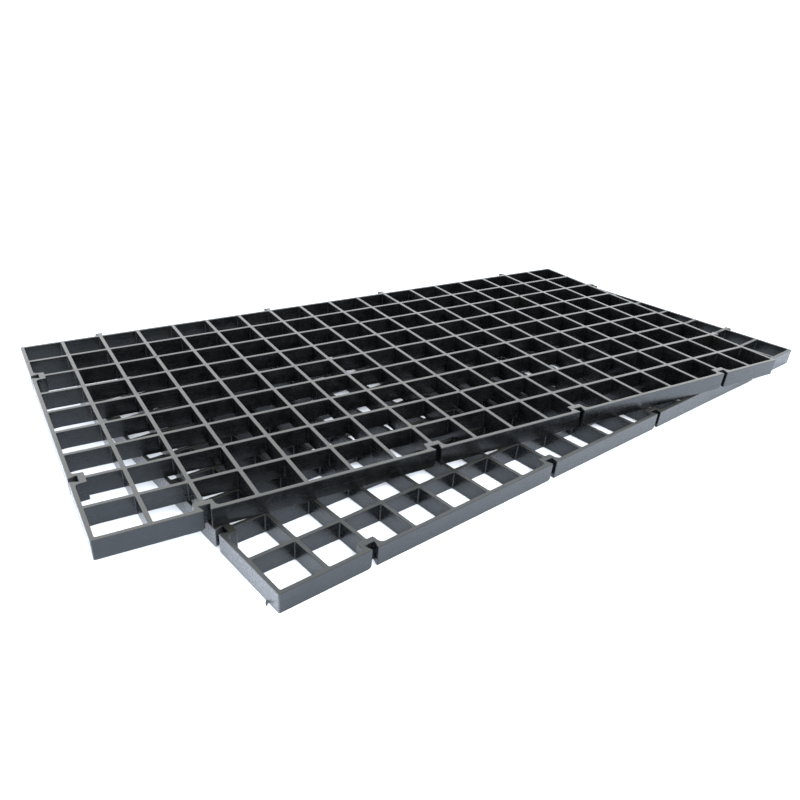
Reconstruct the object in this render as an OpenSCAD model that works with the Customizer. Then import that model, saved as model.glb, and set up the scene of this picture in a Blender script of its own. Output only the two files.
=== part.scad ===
// Open-grid plug tray with dovetail edges, as a pair stacked one on the other.
// Millimetres, +Z up. X runs along the lower tray's long side, Y towards its peg side.
// Each tray is one moulding; its walls, ribs, sockets and pegs are kept as separate solids
// that meet face to face, so every cell and every slot stays open.

/* [Grid] */
// Distance between the centre lines of neighbouring ribs
pitch = 33; // [28:0.5:40]
// Cells along each side of one square module
module_cells = 9; // [6:1:10]
// Modules side by side along the tray's long side
modules_long = 2; // [1:1:3]

/* [Walls and ribs] */
// Thickness of the outer walls
wall_t = 3; // [2.4:0.1:3.6]
// Thickness of the inner ribs
rib_t = 3; // [2.4:0.1:3.6]
// Height of one tray
tray_h = 14; // [12:0.5:25]
// How far the inner ribs stop above the edge that the rim rests on
rib_lift = 0.4; // [0.2:0.1:1]

/* [Dovetail joints] */
// Cells from a module's edge to its dovetails
joint_inset = 2; // [1:1:2]
// Width of a slot at its mouth
slot_mouth_w = 3.8; // [3:0.1:5]
// Width of a slot at its back
slot_back_w = 7.6; // [6:0.1:8.5]
// Depth of a slot from the wall's outer face
slot_depth = 6; // [4.5:0.1:7]
// Thickness of the web that closes a slot's back
web_t = 4.5; // [2.5:0.1:5]
// Width of a socket where it leaves the wall
socket_base_w = 15; // [13:0.5:20]
// Width of a socket at its back
socket_back_w = 12.5; // [10:0.5:13]
// Clearance between a peg and its slot, on each side
joint_clearance = 0.3; // [0.1:0.05:0.6]

/* [Stacking] */
// Turn of the upper tray on the lower one, about the vertical
stack_turn = -9.6; // [-20:0.1:20]
// Shift of the upper tray's centre along X
stack_shift_x = -48; // [-120:1:60]
// Shift of the upper tray's centre along Y
stack_shift_y = 32; // [-60:1:120]

/* [Hidden] */

lower_colour = [0.27, 0.28, 0.27];
upper_colour = [0.36, 0.36, 0.35];

cells_x = modules_long * module_cells;
cells_y = module_cells;
tray_l = cells_x * pitch + wall_t;
tray_w = cells_y * pitch + wall_t;
socket_reach = slot_depth + web_t;
peg_reach = slot_depth - joint_clearance;
peg_neck_w = slot_mouth_w - 2 * joint_clearance;
peg_end_w = slot_back_w - 2 * joint_clearance;

// Cell lines that carry a dovetail: two in each module, along X and along Y
joint_columns = [
    for (m = [0 : modules_long - 1])
        for (n = [joint_inset, module_cells - joint_inset]) m * module_cells + n
];
joint_rows = [joint_inset, module_cells - joint_inset];

// Place of column line i and of row line j, from the tray's centre
function line_x(i) = (i - cells_x / 2) * pitch;
function line_y(j) = (j - cells_y / 2) * pitch;
function has(list, n) = len(search(n, list)) > 0;

// Half the width of a socket at a distance from the wall's outer face
function socket_half_w(d) =
    socket_base_w / 2
    - (socket_base_w - socket_back_w) / 2 * max(0, d - wall_t) / (socket_reach - wall_t);

// Places of the stretches of wall left between sockets that are centred on the given places
function stretches(from, to, centres) = [
    for (k = [0 : len(centres)]) [
        k == 0 ? from : centres[k - 1] + socket_base_w / 2,
        k == len(centres) ? to : centres[k] - socket_base_w / 2
    ]
];

// The tray's outermost points in plan, pegs included, from the tray's centre
outline = [
    [-tray_l / 2, -tray_w / 2], [tray_l / 2, -tray_w / 2],
    [-tray_l / 2, tray_w / 2], [tray_l / 2, tray_w / 2],
    for (i = joint_columns) for (s = [-1, 1])
        [line_x(i) + s * peg_end_w / 2, tray_w / 2 + peg_reach],
    for (j = joint_rows) for (s = [-1, 1])
        [tray_l / 2 + peg_reach, line_y(j) + s * peg_end_w / 2]
];
function turned(p, a) = [p[0] * cos(a) - p[1] * sin(a), p[0] * sin(a) + p[1] * cos(a)];
pair_outline = concat(
    outline,
    [for (p = outline) turned(p, stack_turn) + [stack_shift_x, stack_shift_y]]
);
xs = [for (p = pair_outline) p[0]];
ys = [for (p = pair_outline) p[1]];
// The lower tray's centre, so that the pair's box is centred on the origin
lower_x = -(min(xs) + max(xs)) / 2;
lower_y = -(min(ys) + max(ys)) / 2;

module block(x, y, z) {
    translate([x[0], y[0], z[0]])
        cube([x[1] - x[0], y[1] - y[0], z[1] - z[0]]);
}

// Places a tray's piece as part of the lower tray
module as_lower() {
    color(lower_colour)
        translate([lower_x, lower_y, 0])
            children();
}

// Places a tray's piece as part of the upper tray, turned on top of the lower one
module as_upper() {
    color(upper_colour)
        translate([lower_x + stack_shift_x, lower_y + stack_shift_y, tray_h])
            rotate([0, 0, stack_turn])
                children();
}

// Puts a joint's piece on the front wall; its own +Y points into the tray from the outer face
module at_front(i) {
    translate([line_x(i), -tray_w / 2, 0])
        children();
}

// The same on the left wall
module at_left(j) {
    translate([-tray_l / 2, line_y(j), 0])
        rotate([0, 0, -90])
            children();
}

// Puts a peg on the back wall; its own +Y points out of the tray from the outer face
module at_back(i) {
    translate([line_x(i), tray_w / 2, 0])
        children();
}

// The same on the right wall
module at_right(j) {
    translate([tray_l / 2, line_y(j), 0])
        rotate([0, 0, -90])
            children();
}

// The two cheeks that hold a peg's flared end in its slot
module jaw_pair() {
    for (side = [0, 1])
        mirror([side, 0, 0])
            linear_extrude(height = tray_h)
                polygon([
                    [slot_mouth_w / 2, 0],
                    [socket_base_w / 2, 0],
                    [socket_base_w / 2, wall_t],
                    [socket_half_w(slot_depth), slot_depth],
                    [slot_back_w / 2, slot_depth]
                ]);
}

// The wall behind a slot
module web() {
    linear_extrude(height = tray_h)
        polygon([
            [-socket_half_w(slot_depth), slot_depth],
            [socket_half_w(slot_depth), slot_depth],
            [socket_back_w / 2, socket_reach],
            [-socket_back_w / 2, socket_reach]
        ]);
}

// A flared peg that drops into a neighbouring tray's slot
module peg() {
    linear_extrude(height = tray_h)
        polygon([
            [-peg_neck_w / 2, 0],
            [peg_neck_w / 2, 0],
            [peg_end_w / 2, peg_reach],
            [-peg_end_w / 2, peg_reach]
        ]);
}

module front_wall() {
    for (s = stretches(-tray_l / 2, tray_l / 2, [for (i = joint_columns) line_x(i)]))
        block(s, [-tray_w / 2, -tray_w / 2 + wall_t], [0, tray_h]);
}

module back_wall() {
    block([-tray_l / 2, tray_l / 2], [tray_w / 2 - wall_t, tray_w / 2], [0, tray_h]);
}

module left_wall() {
    inner = tray_w / 2 - wall_t;
    for (s = stretches(-inner, inner, [for (j = joint_rows) line_y(j)]))
        block([-tray_l / 2, -tray_l / 2 + wall_t], s, [0, tray_h]);
}

module right_wall() {
    inner = tray_w / 2 - wall_t;
    block([tray_l / 2 - wall_t, tray_l / 2], [-inner, inner], [0, tray_h]);
}

// Ribs along X, each in one length; one that meets a socket starts behind its web
module long_ribs() {
    for (j = [1 : cells_y - 1])
        block(
            [
                -tray_l / 2 + (has(joint_rows, j) ? socket_reach : wall_t),
                tray_l / 2 - wall_t
            ],
            [line_y(j) - rib_t / 2, line_y(j) + rib_t / 2],
            [rib_lift, tray_h]
        );
}

// Ribs along Y, in short lengths between the long ribs
module cross_ribs() {
    for (i = [1 : cells_x - 1])
        for (j = [0 : cells_y - 1])
            block(
                [line_x(i) - rib_t / 2, line_x(i) + rib_t / 2],
                [
                    j > 0 ? line_y(j) + rib_t / 2
                        : -tray_w / 2 + (has(joint_columns, i) ? socket_reach : wall_t),
                    j < cells_y - 1 ? line_y(j + 1) - rib_t / 2 : tray_w / 2 - wall_t
                ],
                [rib_lift, tray_h]
            );
}

module front_socket_jaws() {
    for (i = joint_columns) at_front(i) jaw_pair();
}

module front_socket_webs() {
    for (i = joint_columns) at_front(i) web();
}

module left_socket_jaws() {
    for (j = joint_rows) at_left(j) jaw_pair();
}

module left_socket_webs() {
    for (j = joint_rows) at_left(j) web();
}

module back_pegs() {
    for (i = joint_columns) at_back(i) peg();
}

module right_pegs() {
    for (j = joint_rows) at_right(j) peg();
}

module lower_front_wall() { as_lower() front_wall(); }
module lower_back_wall() { as_lower() back_wall(); }
module lower_left_wall() { as_lower() left_wall(); }
module lower_right_wall() { as_lower() right_wall(); }
module lower_long_ribs() { as_lower() long_ribs(); }
module lower_cross_ribs() { as_lower() cross_ribs(); }
module lower_front_socket_jaws() { as_lower() front_socket_jaws(); }
module lower_front_socket_webs() { as_lower() front_socket_webs(); }
module lower_left_socket_jaws() { as_lower() left_socket_jaws(); }
module lower_left_socket_webs() { as_lower() left_socket_webs(); }
module lower_back_pegs() { as_lower() back_pegs(); }
module lower_right_pegs() { as_lower() right_pegs(); }

module upper_front_wall() { as_upper() front_wall(); }
module upper_back_wall() { as_upper() back_wall(); }
module upper_left_wall() { as_upper() left_wall(); }
module upper_right_wall() { as_upper() right_wall(); }
module upper_long_ribs() { as_upper() long_ribs(); }
module upper_cross_ribs() { as_upper() cross_ribs(); }
module upper_front_socket_jaws() { as_upper() front_socket_jaws(); }
module upper_front_socket_webs() { as_upper() front_socket_webs(); }
module upper_left_socket_jaws() { as_upper() left_socket_jaws(); }
module upper_left_socket_webs() { as_upper() left_socket_webs(); }
module upper_back_pegs() { as_upper() back_pegs(); }
module upper_right_pegs() { as_upper() right_pegs(); }

lower_front_wall();
lower_back_wall();
lower_left_wall();
lower_right_wall();
lower_long_ribs();
lower_cross_ribs();
lower_front_socket_jaws();
lower_front_socket_webs();
lower_left_socket_jaws();
lower_left_socket_webs();
lower_back_pegs();
lower_right_pegs();
upper_front_wall();
upper_back_wall();
upper_left_wall();
upper_right_wall();
upper_long_ribs();
upper_cross_ribs();
upper_front_socket_jaws();
upper_front_socket_webs();
upper_left_socket_jaws();
upper_left_socket_webs();
upper_back_pegs();
upper_right_pegs();
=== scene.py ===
import math

import bpy
import numpy as np
from mathutils import Matrix, Vector, noise
from mathutils.geometry import delaunay_2d_cdt


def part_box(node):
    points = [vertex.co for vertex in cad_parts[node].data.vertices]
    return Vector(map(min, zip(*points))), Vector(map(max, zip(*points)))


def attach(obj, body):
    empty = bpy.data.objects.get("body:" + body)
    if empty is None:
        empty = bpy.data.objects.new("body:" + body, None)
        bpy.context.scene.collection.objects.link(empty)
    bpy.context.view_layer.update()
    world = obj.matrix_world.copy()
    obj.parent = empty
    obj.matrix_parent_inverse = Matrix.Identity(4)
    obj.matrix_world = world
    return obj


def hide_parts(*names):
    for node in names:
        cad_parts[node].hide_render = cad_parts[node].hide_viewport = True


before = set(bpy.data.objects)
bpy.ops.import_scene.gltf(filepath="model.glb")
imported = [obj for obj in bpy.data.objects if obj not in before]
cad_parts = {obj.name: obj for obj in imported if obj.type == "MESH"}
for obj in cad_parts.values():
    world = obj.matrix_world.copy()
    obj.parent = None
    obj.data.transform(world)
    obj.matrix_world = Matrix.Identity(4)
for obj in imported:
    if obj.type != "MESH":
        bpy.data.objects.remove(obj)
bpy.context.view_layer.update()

# Sizes in millimetres; everything is turned into metres as a mesh is made.
MM = 0.001

# ---------------------------------------------------------------- sizes from the frame


def span(nodes, axis):
    """Lowest and highest place of the nodes along an axis (0 x, 1 y, 2 z), in mm."""
    boxes = [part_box(n) for n in nodes]
    return min(b[0][axis] for b in boxes) / MM, max(b[1][axis] for b in boxes) / MM


def size(nodes, axis):
    low, high = span(nodes, axis)
    return high - low


CELLS_X, CELLS_Y = 18, 9
MODULE = 9
INSET = 2
LENGTH = size(["lower_back_wall"], 0)
WIDTH = size(["lower_front_wall", "lower_back_wall"], 1)
HEIGHT = size(["lower_back_wall"], 2)
WALL = size(["lower_back_wall"], 1)
PITCH = (LENGTH - WALL) / CELLS_X
RIB = WALL
RIB_LIFT = span(["lower_long_ribs"], 2)[0]
SLOT_DEPTH = size(["lower_front_socket_jaws"], 1)
SOCKET_REACH = SLOT_DEPTH + size(["lower_front_socket_webs"], 1)
PEG_REACH = size(["lower_back_pegs"], 1)
SLOT_MOUTH, SLOT_BACK = 3.8, 7.6
SOCKET_BASE, SOCKET_BACK = 13.6, 12.5
PEG_NECK, PEG_END = SLOT_MOUTH - 0.6, SLOT_BACK - 0.6

JOINT_COLUMNS = [m * MODULE + n for m in range(CELLS_X // MODULE) for n in (INSET, MODULE - INSET)]
JOINT_ROWS = [INSET, MODULE - INSET]
# Rib crossings where the plastic was injected, and a gate mark's rings: radius, height, wear
GATES = [(i, j) for i in (3, 9, 15) for j in (2, 7)]
GATE_PROFILE = [(1.35, 0.0, 1.0), (1.15, -0.28, 0.6), (0.75, -0.34, 0.2), (0.5, -0.06, 1.0)]
GATE_SIDES = 14
GATE_FLOOR = -0.02

# Rounding
CELL_R = 0.9
EDGE_OUTER, EDGE_INNER, EDGE_BOTTOM = 0.48, 0.34, 0.28
EDGE_STEPS = 3
FOOT_R = 3.0
MAX_STEP = 5.5
LEAD_R = 3.2


def line_x(i):
    return (i - CELLS_X / 2) * PITCH


def line_y(j):
    return (j - CELLS_Y / 2) * PITCH


# ---------------------------------------------------------------- outlines


def fillet(points):
    """A closed outline from (x, y, radius) corners: a list of (x, y, nx, ny) with outward normals
    for a counter-clockwise outline. Straight stretches get points at most MAX_STEP apart."""
    out = []
    n = len(points)
    corners = []
    for k in range(n):
        p0, p1, p2 = (np.array(points[(k + d) % n][:2], float) for d in (-1, 0, 1))
        r = points[k][2]
        u, v = p1 - p0, p2 - p1
        lu, lv = np.linalg.norm(u), np.linalg.norm(v)
        u, v = u / lu, v / lv
        cross, dot = u[0] * v[1] - u[1] * v[0], float(u @ v)
        turn = math.atan2(cross, dot)
        if r <= 0 or abs(turn) < 1e-6:
            corners.append((p1, p1, None))
            continue
        back = r * math.tan(abs(turn) / 2)
        corners.append((p1 - u * back, p1 + v * back, (p1 - u * back, u, turn, r)))
    for k in range(n):
        start, end, arc = corners[k]
        if arc:
            p, u, turn, r = arc
            steps = max(2, math.ceil(abs(turn) / math.radians(24)))
            side = np.array([-u[1], u[0]]) * math.copysign(1, turn)
            centre = p + side * r
            for s in range(steps + 1):
                a = turn * s / steps
                c, q = math.cos(a), math.sin(a)
                arm = -side * r
                spoke = np.array([arm[0] * c - arm[1] * q, arm[0] * q + arm[1] * c])
                normal = spoke / r * math.copysign(1, turn)
                out.append((*(centre + spoke), *normal))
        nxt = corners[(k + 1) % n][0]
        d = nxt - end
        length = np.linalg.norm(d)
        if length < 1e-9:
            continue
        d = d / length
        normal = np.array([d[1], -d[0]])
        if not arc:
            out.append((*end, *normal))
        steps = max(1, math.ceil(length / MAX_STEP))
        for s in range(1, steps):
            out.append((*(end + d * length * s / steps), *normal))
    return out


def outer_corners():
    """The tray's outline, counter-clockwise from the front left corner."""
    x0, x1, y0, y1 = -LENGTH / 2, LENGTH / 2, -WIDTH / 2, WIDTH / 2
    slot = [(-SLOT_MOUTH / 2, 0, 0.55), (-SLOT_BACK / 2, SLOT_DEPTH, 0.2),
            (SLOT_BACK / 2, SLOT_DEPTH, 0.2), (SLOT_MOUTH / 2, 0, 0.55)]
    peg = [(PEG_NECK / 2, 0, 0.4), (PEG_END / 2, PEG_REACH, 0.6),
           (-PEG_END / 2, PEG_REACH, 0.6), (-PEG_NECK / 2, 0, 0.4)]
    # Extra points left of each slot, where the wall's lower corner is rounded
    lead = [(-SLOT_MOUTH / 2 - LEAD_R * f, 0, 0) for f in (1.1, 0.9, 0.7, 0.5, 0.3)]
    pts = [(x0, y0, 0.9)]
    for i in JOINT_COLUMNS:
        pts += [(line_x(i) + x, y0 + y, r) for x, y, r in lead + slot]
    pts.append((x1, y0, 0.9))
    for j in JOINT_ROWS:
        pts += [(x1 + y, line_y(j) - x, r) for x, y, r in peg]
    pts.append((x1, y1, 0.9))
    for i in reversed(JOINT_COLUMNS):
        pts += [(line_x(i) + x, y1 + y, r) for x, y, r in peg]
    pts.append((x0, y1, 0.9))
    for j in reversed(JOINT_ROWS):
        pts += [(x0 + y, line_y(j) - x, r) for x, y, r in lead + slot]
    return pts


def cell_corners(i, j):
    """Cell (i, j)'s inner outline, counter-clockwise, bent round the sockets that stand in it."""
    x0, x1 = line_x(i) + RIB / 2, line_x(i + 1) - RIB / 2
    y0, y1 = line_y(j) + RIB / 2, line_y(j + 1) - RIB / 2
    reach_x, reach_y = -LENGTH / 2 + SOCKET_REACH, -WIDTH / 2 + SOCKET_REACH
    base, back = SOCKET_BASE / 2, SOCKET_BACK / 2
    front_left = [(x0, y0, CELL_R)]
    front_right = [(x1, y0, CELL_R)]
    back_left = [(x0, y1, CELL_R)]
    if j == 0 and i in JOINT_COLUMNS:
        x = line_x(i)
        front_left = [(x0, reach_y, 0.7), (x + back, reach_y, 0.8), (x + base, y0, FOOT_R)]
    if j == 0 and i + 1 in JOINT_COLUMNS:
        x = line_x(i + 1)
        front_right = [(x - base, y0, FOOT_R), (x - back, reach_y, 0.8), (x1, reach_y, 0.7)]
    if i == 0 and j in JOINT_ROWS:
        y = line_y(j)
        front_left = [(x0, y + base, FOOT_R), (reach_x, y + back, 0.8), (reach_x, y0, 0.7)]
    if i == 0 and j + 1 in JOINT_ROWS:
        y = line_y(j + 1)
        back_left = [(reach_x, y1, 0.7), (reach_x, y - back, 0.8), (x0, y - base, FOOT_R)]
    return front_left + front_right + [(x1, y1, CELL_R)] + back_left


# ---------------------------------------------------------------- the moulding


def lower_edge(x, y):
    """Height of the tray's lower edge at a place: the ribs stop a little short of the rim's edge,
    and the wall's lower corner left of each slot is rounded."""
    rim = min(x + LENGTH / 2, LENGTH / 2 - x, y + WIDTH / 2, WIDTH / 2 - y)
    z = RIB_LIFT if rim > WALL + 1.0 else 0.0
    for i in JOINT_COLUMNS:
        corner = line_x(i) - SLOT_MOUTH / 2
        d = x - (corner - LEAD_R)
        if y < -WIDTH / 2 + SLOT_DEPTH + 0.1 and 0 < d <= LEAD_R + 0.5:
            d = min(d, LEAD_R * 0.97)
            z = max(z, LEAD_R - math.sqrt(LEAD_R ** 2 - d ** 2))
    for j in JOINT_ROWS:
        corner = line_y(j) + SLOT_MOUTH / 2
        d = (corner + LEAD_R) - y
        if x < -LENGTH / 2 + SLOT_DEPTH + 0.1 and 0 < d <= LEAD_R + 0.5:
            d = min(d, LEAD_R * 0.97)
            z = max(z, LEAD_R - math.sqrt(LEAD_R ** 2 - d ** 2))
    return z


def profile(edge_top):
    """Stations down a wall: (how far into the material, share of the height, drop from the top,
    rise from the bottom, outward part and upward part of the normal, edge wear)."""
    rows = []
    for s in range(EDGE_STEPS + 1):
        a = math.pi / 2 * s / EDGE_STEPS
        rows.append(("top", edge_top * (1 - math.sin(a)), edge_top * (1 - math.cos(a)),
                     math.sin(a), math.cos(a), 1.0 if s < EDGE_STEPS else 0.5))
    for share in (0.72, 0.3):
        rows.append(("wall", 0.0, share, 1.0, 0.0, 0.0))
    for s in range(EDGE_STEPS + 1):
        a = math.pi / 2 * s / EDGE_STEPS
        rows.append(("bottom", EDGE_BOTTOM * (1 - math.cos(a)), EDGE_BOTTOM * (1 - math.sin(a)),
                     math.cos(a), -math.sin(a), 0.4))
    return rows


def wander(x, y, seed):
    """Small unevenness of a moulding, in mm: sideways and down."""
    p = Vector((x * 0.011, y * 0.011, seed))
    q = Vector((x * 0.05, y * 0.05, seed + 7))
    return (0.16 * noise.noise(p) + 0.05 * noise.noise(q),
            0.16 * noise.noise(p + Vector((31, 0, 0))) + 0.05 * noise.noise(q + Vector((17, 0, 0))),
            -0.12 * abs(noise.noise(p + Vector((0, 53, 0))))
            - 0.05 * abs(noise.noise(q + Vector((0, 9, 0)))))


def in_region(points, loops):
    """Even-odd test of points against closed loops."""
    inside = np.zeros(len(points), bool)
    px, py = points[:, 0], points[:, 1]
    for loop in loops:
        low, high = loop.min(0), loop.max(0)
        near = np.where((px > low[0]) & (px < high[0]) & (py > low[1]) & (py < high[1]))[0]
        if not len(near):
            continue
        a, b = loop, np.roll(loop, -1, 0)
        x, y = px[near][:, None], py[near][:, None]
        with np.errstate(divide="ignore", invalid="ignore"):
            cut = (a[:, 1] > y) != (b[:, 1] > y)
            at = (b[:, 0] - a[:, 0]) * (y - a[:, 1]) / (b[:, 1] - a[:, 1]) + a[:, 0]
        inside[near] ^= (np.sum(cut & (x < at), 1) % 2).astype(bool)
    return inside


def cap_faces(loops):
    """Triangles over the region that the loops bound, as triples of (loop, point)."""
    coords, edges, names = [], [], []
    for k, loop in enumerate(loops):
        start = len(coords)
        coords += [Vector(p) for p in loop]
        names += [(k, n) for n in range(len(loop))]
        edges += [(start + n, start + (n + 1) % len(loop)) for n in range(len(loop))]
    verts, _, faces, orig, _, _ = delaunay_2d_cdt(coords, edges, [], 0, 1e-7)
    place = np.array([tuple(v) for v in verts])
    tri = np.array([list(f) for f in faces])
    keep = in_region(place[tri].mean(1), loops)
    return [[names[orig[v][0]] for v in t] for t in tri[keep]]


# Flash tongues from the front left corner, each a line of (x, y, height, width, thickness) in mm
FLASH = {"lower_moulding": [
    [(0.8, 11.6, 0.9, 2.4, 0.5), (-0.5, 11.3, 0.75, 1.8, 0.5), (-1.3, 10.6, 0.6, 1.3, 0.42),
     (-1.9, 9.6, 0.45, 0.8, 0.32), (-2.2, 8.4, 0.3, 0.2, 0.15)],
]}


def build_tray(name, origin, turn, floor, seed):
    """One moulding: its outline and cells as rounded walls, closed by an upper and a lower cap."""
    outlines = [fillet(outer_corners())]
    for i in range(CELLS_X):
        for j in range(CELLS_Y):
            ring = fillet(cell_corners(i, j))
            outlines.append([(x, y, -nx, -ny) for x, y, nx, ny in reversed(ring)])
    verts, normals, wear, upper_face, end_face, index = [], [], [], [], [], []
    for ring in outlines:
        rows = profile(EDGE_INNER if index else EDGE_OUTER)
        first = len(verts)
        for kind, inset, amount, out, up, worn in rows:
            for x, y, nx, ny in ring:
                bottom = lower_edge(x, y)
                if kind == "top":
                    z = HEIGHT - amount
                elif kind == "bottom":
                    z = bottom + amount
                else:
                    z = bottom + (HEIGHT - bottom) * amount
                verts.append((x - nx * inset, y - ny * inset, z))
                normals.append((nx * out, ny * out, up))
                wear.append(worn)
                upper_face.append(1.0 if kind == "top" and up > 0.6 else 0.0)
                # End faces: real scuffing plus painted light, the left end painted paler than the
                # right as if lit from the left
                scuff_and_painted_light = (1.0 if x < 0 else 0.35) * abs(nx) * out
                end_face.append(scuff_and_painted_light if not index and abs(x) > LENGTH / 2 - 1 else 0.0)
        index.append((first, len(ring)))
    faces = []
    for first, n in index:
        for r in range(len(rows) - 1):
            a, b = first + r * n, first + (r + 1) * n
            faces += [(a + k, b + k, b + (k + 1) % n, a + (k + 1) % n) for k in range(n)]

    flat = np.array(verts)
    tops = [flat[first:first + n, :2] for first, n in index]
    last = len(rows) - 1
    bottoms = [flat[first + last * n:first + (last + 1) * n, :2] for first, n in index]

    # Gate marks are extra rings in the upper cap: a shallow well with a torn stub in it
    sides = GATE_SIDES
    gate_rings = []
    for i, j in GATES:
        first = len(verts)
        cx, cy = line_x(i), line_y(CELLS_Y - j)
        for r, dz, worn in GATE_PROFILE:
            for k in range(sides):
                a = -2 * math.pi * k / sides
                ca, sa = math.cos(a), math.sin(a)
                ragged = 1 + 0.12 * noise.noise(Vector((cx + 3 * ca, cy + 3 * sa, seed)))
                verts.append((cx + r * ragged * ca, cy + r * ragged * sa, HEIGHT + dz))
                normals.append((0, 0, 1))
                wear.append(worn)
                upper_face.append(1.0)
                end_face.append(0.0)
        for r in range(len(GATE_PROFILE) - 1):
            a, b = first + r * sides, first + (r + 1) * sides
            faces += [(a + k, b + k, b + (k + 1) % sides, a + (k + 1) % sides)
                      for k in range(sides)]
        centre = len(verts)
        verts.append((cx, cy, HEIGHT + GATE_FLOOR))
        normals.append((0, 0, 1))
        wear.append(1.0)
        upper_face.append(1.0)
        end_face.append(0.0)
        a = first + (len(GATE_PROFILE) - 1) * sides
        faces += [(a + k, centre, a + (k + 1) % sides) for k in range(sides)]
        gate_rings.append((first, sides))
    flat = np.array(verts)
    tops += [flat[first:first + n, :2] for first, n in gate_rings]

    # Flash: thin tongues of plastic squeezed out where the mould halves meet
    for tongue in FLASH.get(name, []):
        first = len(verts)
        tongue = [(x - LENGTH / 2, y - WIDTH / 2, *rest) for x, y, *rest in tongue]
        for k, (x, y, z, w, t) in enumerate(tongue):
            (xa, ya), (xb, yb) = tongue[max(k - 1, 0)][:2], tongue[min(k + 1, len(tongue) - 1)][:2]
            ux, uy = (Vector((xb - xa, yb - ya)).normalized())
            for side, up in ((-1, -1), (1, -1), (1, 1), (-1, 1)):
                verts.append((x - uy * side * w / 2, y + ux * side * w / 2, z + up * t / 2))
                normals.append((0, 0, 1))
                wear.append(0.4)
                upper_face.append(0.0)
                end_face.append(0.3)
            if k:
                a, b = first + 4 * k - 4, first + 4 * k
                faces += [(a + q, a + (q + 1) % 4, b + (q + 1) % 4, b + q) for q in range(4)]
        faces += [tuple(first + q for q in (3, 2, 1, 0)),
                  tuple(len(verts) - 4 + q for q in range(4))]

    firsts = [f for f, _ in index] + [f for f, _ in gate_rings]
    for tri in cap_faces(tops):
        faces.append([firsts[k] + n for k, n in tri])
    for tri in cap_faces(bottoms):
        faces.append([index[k][0] + last * index[k][1] + n for k, n in reversed(tri)])

    c, s = math.cos(turn), math.sin(turn)
    placed = []
    for x, y, z in verts:
        dx, dy, dz = wander(x, y, seed)
        edge = 1 - max(abs(x) / (LENGTH / 2 + PEG_REACH), abs(y) / (WIDTH / 2 + PEG_REACH)) ** 24
        x, y, z = x + dx * edge, y + dy * edge, z + dz * z / HEIGHT
        placed.append(((origin[0] + x * c - y * s) * MM,
                       (origin[1] + x * s + y * c) * MM, (floor + z) * MM))
    mesh = bpy.data.meshes.new(name)
    mesh.from_pydata(placed, [], faces)
    mesh.update()
    mesh.polygons.foreach_set("use_smooth", [True] * len(mesh.polygons))
    for attribute, values in (("edge_wear", wear), ("upper_face", upper_face),
                              ("end_face", end_face)):
        mesh.attributes.new(attribute, "FLOAT", "POINT").data.foreach_set("value", values)
    n = np.array(normals)
    turned = np.column_stack([n[:, 0] * c - n[:, 1] * s, n[:, 0] * s + n[:, 1] * c, n[:, 2]])
    # Gate marks and flash keep the normals that their own faces give
    turned[gate_rings[0][0] + sides:] = 0
    mesh.normals_split_custom_set_from_vertices([tuple(v) for v in turned])
    obj = bpy.data.objects.new(name, mesh)
    bpy.context.scene.collection.objects.link(obj)
    return obj


def tray_place(prefix):
    """Centre, turn and floor height of a tray, from the boxes of its walls."""
    (f0, f1), (b0, b1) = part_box(prefix + "_front_wall"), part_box(prefix + "_back_wall")
    front, back = (Vector(f0) + Vector(f1)) / 2, (Vector(b0) + Vector(b1)) / 2
    across = back - front
    centre = (front + back) / 2 / MM
    return (centre.x, centre.y), math.atan2(-across.x, across.y), f0[2] / MM


# ---------------------------------------------------------------- materials


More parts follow.
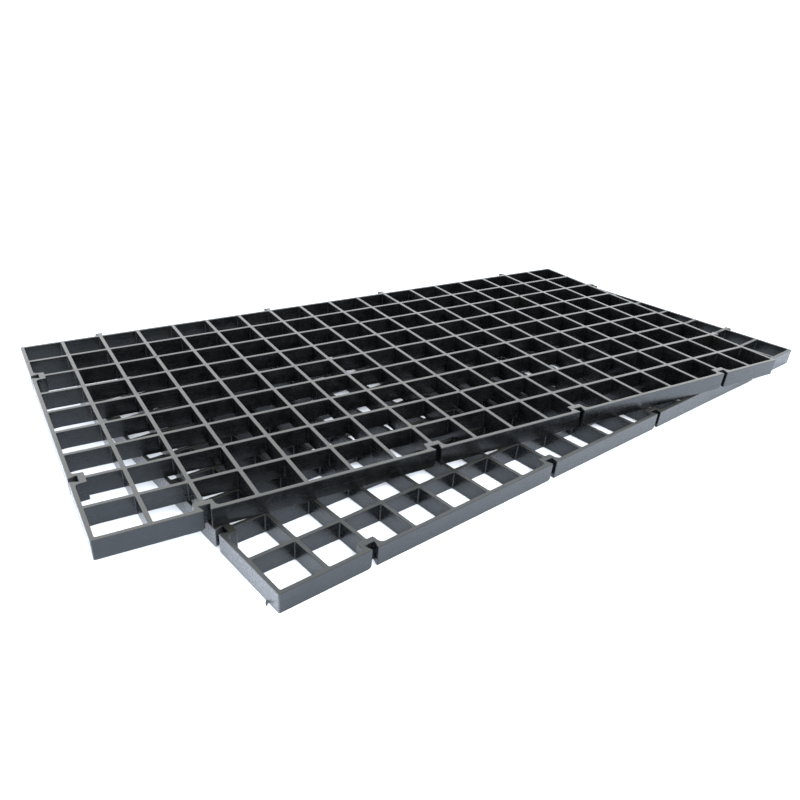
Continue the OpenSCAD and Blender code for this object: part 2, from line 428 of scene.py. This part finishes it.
def plastic(name, dark, light, seed, top_painted_light, top_dulling):
    """Satin recycled polypropylene: mottled colour, flow streaks, uneven gloss, worn pale edges,
    painted light on the upper faces and on the end faces.
    """
    mat = bpy.data.materials.new(name)
    mat.use_nodes = True
    nodes, links = mat.node_tree.nodes, mat.node_tree.links
    nodes.clear()
    out = nodes.new("ShaderNodeOutputMaterial")
    bsdf = nodes.new("ShaderNodeBsdfPrincipled")
    links.new(bsdf.outputs["BSDF"], out.inputs["Surface"])
    bsdf.inputs["IOR"].default_value = 1.5
    bsdf.inputs["Specular IOR Level"].default_value = 0.5
    bsdf.inputs["Specular Tint"].default_value = (0.87, 0.94, 1.0, 1)

    coord = nodes.new("ShaderNodeTexCoord")

    def mapped(scale, shift=0.0):
        m = nodes.new("ShaderNodeMapping")
        m.inputs["Scale"].default_value = scale
        m.inputs["Location"].default_value = (shift + seed, shift * 2, seed * 3)
        links.new(coord.outputs["Object"], m.inputs["Vector"])
        return m.outputs["Vector"]

    def noise_tex(vector, scale, detail, rough=0.55, distortion=0.0):
        t = nodes.new("ShaderNodeTexNoise")
        t.inputs["Scale"].default_value = scale
        t.inputs["Detail"].default_value = detail
        t.inputs["Roughness"].default_value = rough
        t.inputs["Distortion"].default_value = distortion
        links.new(vector, t.inputs["Vector"])
        return t.outputs["Fac"]

    def remap(value, a, b, c, d):
        m = nodes.new("ShaderNodeMapRange")
        links.new(value, m.inputs["Value"])
        for key, v in (("From Min", a), ("From Max", b), ("To Min", c), ("To Max", d)):
            m.inputs[key].default_value = v
        return m.outputs["Result"]

    def math_node(op, a, b):
        m = nodes.new("ShaderNodeMath")
        m.operation = op
        for k, v in enumerate((a, b)):
            if isinstance(v, (int, float)):
                m.inputs[k].default_value = v
            else:
                links.new(v, m.inputs[k])
        return m.outputs[0]

    def mix(fac, a, b):
        m = nodes.new("ShaderNodeMix")
        m.data_type = "RGBA"
        links.new(fac, m.inputs["Factor"])
        for key, v in (("A", a), ("B", b)):
            socket = [s for s in m.inputs if s.name == key and s.type == "RGBA"][0]
            if isinstance(v, tuple):
                socket.default_value = (*v, 1)
            else:
                links.new(v, socket)
        return [s for s in m.outputs if s.type == "RGBA"][0]

    # Clouds of dark and pale regrind, a few millimetres across
    clouds = remap(noise_tex(mapped((1, 1, 1)), 95, 6, 0.62, 0.4), 0.36, 0.66, 0, 1)
    colour = mix(clouds, dark, light)
    # Flow streaks: drawn out along the walls
    streak_x = noise_tex(mapped((18, 220, 260), 3.0), 1, 4, 0.6)
    streak_y = noise_tex(mapped((220, 18, 260), 5.0), 1, 4, 0.6)
    streaks = remap(math_node("MULTIPLY", streak_x, streak_y), 0.24, 0.42, 0, 1)
    pale = tuple(min(1, c * 1.9) for c in light)
    colour = mix(math_node("MULTIPLY", streaks, 0.35), colour, pale)
    # Warm patches of another batch in the regrind
    warm = remap(noise_tex(mapped((1, 1, 1), 9.0), 32, 3, 0.5), 0.52, 0.7, 0, 0.45)
    colour = mix(warm, colour, (light[0] * 1.25, light[1] * 1.12, light[2] * 0.9))
    # Specks of pigment
    specks = remap(noise_tex(mapped((1, 1, 1), 13.0), 1300, 1, 0.4), 0.69, 0.75, 0, 0.5)
    colour = mix(specks, colour, tuple(min(1, c * 3.2) for c in light))
    # The upper faces: a lighter colour painted in as light falling from above; on the lower tray it
    # is darker, painted shade under the upper tray
    top = nodes.new("ShaderNodeAttribute")
    top.attribute_name = "upper_face"
    top = top.outputs["Fac"]
    colour = mix(math_node("MULTIPLY", top, 0.8), colour, top_painted_light)
    # The short end faces, dragged over benches and floors: sandy, pale scuffing, with painted light
    # mixed in: a pale bluish colour, full on the left end and weaker on the right, as if lit from
    # the left
    end = nodes.new("ShaderNodeAttribute")
    end.attribute_name = "end_face"
    sand_and_painted_light = remap(noise_tex(mapped((1, 1, 1), 61.0), 900, 4, 0.75), 0.35, 0.62, 0.25, 1)
    sand_and_painted_light = math_node("MULTIPLY", sand_and_painted_light, end.outputs["Fac"])
    colour = mix(sand_and_painted_light, colour, (0.079, 0.083, 0.092))
    # Worn edges
    attr = nodes.new("ShaderNodeAttribute")
    attr.attribute_name = "edge_wear"
    chips = remap(noise_tex(mapped((1, 1, 1), 21.0), 420, 5, 0.65), 0.45, 0.68, 0, 1)
    edge = math_node("MULTIPLY", attr.outputs["Fac"], chips)
    colour = mix(math_node("MULTIPLY", edge, 0.2), colour, tuple(min(1, c * 3.5) for c in light))
    links.new(colour, bsdf.inputs["Base Color"])

    gloss = remap(noise_tex(mapped((1, 1, 1), 27.0), 140, 5, 0.6), 0.3, 0.7, 0.18, 0.28)
    rubbed = remap(noise_tex(mapped((50, 50, 600), 33.0), 1, 4, 0.7), 0.5, 0.72, 0.0, 0.12)
    gloss = math_node("ADD", gloss, rubbed)
    gloss = math_node("ADD", gloss, math_node("MULTIPLY", top, top_dulling))
    links.new(gloss, bsdf.inputs["Roughness"])

    grain = noise_tex(mapped((1, 1, 1), 41.0), 1700, 3, 0.6)
    ripple = noise_tex(mapped((1, 1, 1), 47.0), 210, 4, 0.5)
    scuff = noise_tex(mapped((70, 70, 1100), 51.0), 1, 3, 0.7)
    height = math_node("MULTIPLY", grain, 0.25)
    height = math_node("ADD", height, math_node("MULTIPLY", ripple, 0.35))
    height = math_node("ADD", height, math_node("MULTIPLY", scuff, 0.6))
    height = math_node("SUBTRACT", height, math_node("MULTIPLY", edge, 0.15))
    bump = nodes.new("ShaderNodeBump")
    bump.inputs["Strength"].default_value = 0.35
    bump.inputs["Distance"].default_value = 0.00025
    links.new(height, bump.inputs["Height"])
    links.new(bump.outputs["Normal"], bsdf.inputs["Normal"])
    return mat


def floor_material():
    """A pale, softly glowing sweep: bright enough that the trays' contact shadows stay faint."""
    mat = bpy.data.materials.new("pale_floor")
    mat.use_nodes = True
    bsdf = mat.node_tree.nodes["Principled BSDF"]
    bsdf.inputs["Base Color"].default_value = (0.50, 0.535, 0.585, 1)
    bsdf.inputs["Roughness"].default_value = 0.9
    bsdf.inputs["Specular IOR Level"].default_value = 0.1
    bsdf.inputs["Emission Color"].default_value = (0.93, 0.95, 1.0, 1)
    bsdf.inputs["Emission Strength"].default_value = 0.16
    return mat


# ---------------------------------------------------------------- the two trays

PARTS = ["front_wall", "back_wall", "left_wall", "right_wall", "long_ribs", "cross_ribs",
         "front_socket_jaws", "front_socket_webs", "left_socket_jaws", "left_socket_webs",
         "back_pegs", "right_pegs"]
DARK, LIGHT = (0.0009, 0.0010, 0.0011), (0.0032, 0.0034, 0.0037)

# The upper faces: the colour painted in as light from above (darker on the lower tray, as painted
# shade under the upper tray), and how much rougher they are
TOPS = {"lower": ((0.008, 0.0079, 0.006), 0.18), "upper": ((0.023, 0.0222, 0.0185), 0.04)}

for seed, prefix in enumerate(["lower", "upper"]):
    origin, turn, floor_z = tray_place(prefix)
    tray = build_tray(prefix + "_moulding", origin, turn, floor_z, 11.0 + 5 * seed)
    material = plastic(prefix + "_recycled_plastic", DARK, LIGHT, seed * 1.7, *TOPS[prefix])
    tray.data.materials.append(material)
    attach(tray, prefix + "_tray")
    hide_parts(*[prefix + "_" + p for p in PARTS])

# ---------------------------------------------------------------- floor, light, camera

HALF = 12.0
corners = [(-HALF, -HALF, 0), (HALF, -HALF, 0), (HALF, HALF, 0), (-HALF, HALF, 0)]
mesh = bpy.data.meshes.new("floor")
mesh.from_pydata(corners, [], [(0, 1, 2, 3)])
floor = bpy.data.objects.new("floor", mesh)
floor.location.z = -0.0002
floor.data.materials.append(floor_material())
bpy.context.scene.collection.objects.link(floor)

scene = bpy.context.scene


def studio_world():
    """An evenly lit white booth, a little dimmer overhead."""
    world = bpy.data.worlds.new("studio")
    world.use_nodes = True
    nodes, links = world.node_tree.nodes, world.node_tree.links
    coord = nodes.new("ShaderNodeTexCoord")
    split = nodes.new("ShaderNodeSeparateXYZ")
    links.new(coord.outputs["Generated"], split.inputs["Vector"])
    fall = nodes.new("ShaderNodeMapRange")
    fall.interpolation_type = "SMOOTHSTEP"
    links.new(split.outputs["Z"], fall.inputs["Value"])
    for key, v in (("From Min", 0.45), ("From Max", 0.8), ("To Min", 2.6), ("To Max", 2.1)):
        fall.inputs[key].default_value = v
    background = nodes["Background"]
    background.inputs["Color"].default_value = (0.97, 0.985, 1.0, 1)
    links.new(fall.outputs["Result"], background.inputs["Strength"])
    scene.world = world


studio_world()


def area_light(name, place, target, width, height, watts, colour, mirrored):
    """A softbox the camera doesn't see; only a mirrored one shows in the plastic's gloss."""
    data = bpy.data.lights.new(name, "AREA")
    data.shape = "RECTANGLE"
    data.size, data.size_y = width, height
    data.energy = watts
    data.color = colour
    obj = bpy.data.objects.new(name, data)
    obj.location = place
    obj.rotation_mode = "QUATERNION"
    obj.rotation_quaternion = (Vector(target) - Vector(place)).to_track_quat("-Z", "Y")
    obj.visible_camera = False
    obj.visible_glossy = mirrored
    scene.collection.objects.link(obj)


COOL, WARM = (0.93, 0.96, 1.0), (1.0, 0.985, 0.96)
area_light("softbox_left", (-1.8, 0.9, 0.5), (-0.4, 0.1, 0), 1.5, 0.6, 55, COOL, False)
area_light("softbox_front", (-0.25, -1.0, 0.9), (-0.1, -0.35, 0), 1.1, 0.5, 42, COOL, False)
area_light("softbox_above", (-0.5, 0.3, 2.4), (-0.2, 0, 0), 2.0, 1.6, 22, WARM, True)

# The camera stands in front of the lower tray's left end and looks across it to the right
(lower_x, lower_y), _, _ = tray_place("lower")
CAMERA_FROM_LOWER = (-448.1, -391.4, 274.0)
LOOK = Vector((0.52624, 0.66194, -0.53376))
UP = Vector((0.30692, 0.43753, 0.8452))
SENSOR, LENS = 36.0, 31.79
cam_data = bpy.data.cameras.new("camera")
cam_data.sensor_width = SENSOR
cam_data.lens = LENS
cam_data.shift_x, cam_data.shift_y = 0.0692, 0.0840
cam_data.clip_start, cam_data.clip_end = 0.01, 60
camera = bpy.data.objects.new("camera", cam_data)
z_axis = -LOOK.normalized()
x_axis = UP.cross(z_axis).normalized()
y_axis = z_axis.cross(x_axis)
place = (Vector((lower_x, lower_y, 0)) + Vector(CAMERA_FROM_LOWER)) * MM
turned = Matrix((x_axis, y_axis, z_axis)).transposed().to_4x4()
camera.matrix_world = Matrix.Translation(place) @ turned
scene.collection.objects.link(camera)
scene.camera = camera
scene.view_settings.view_transform = "Standard"
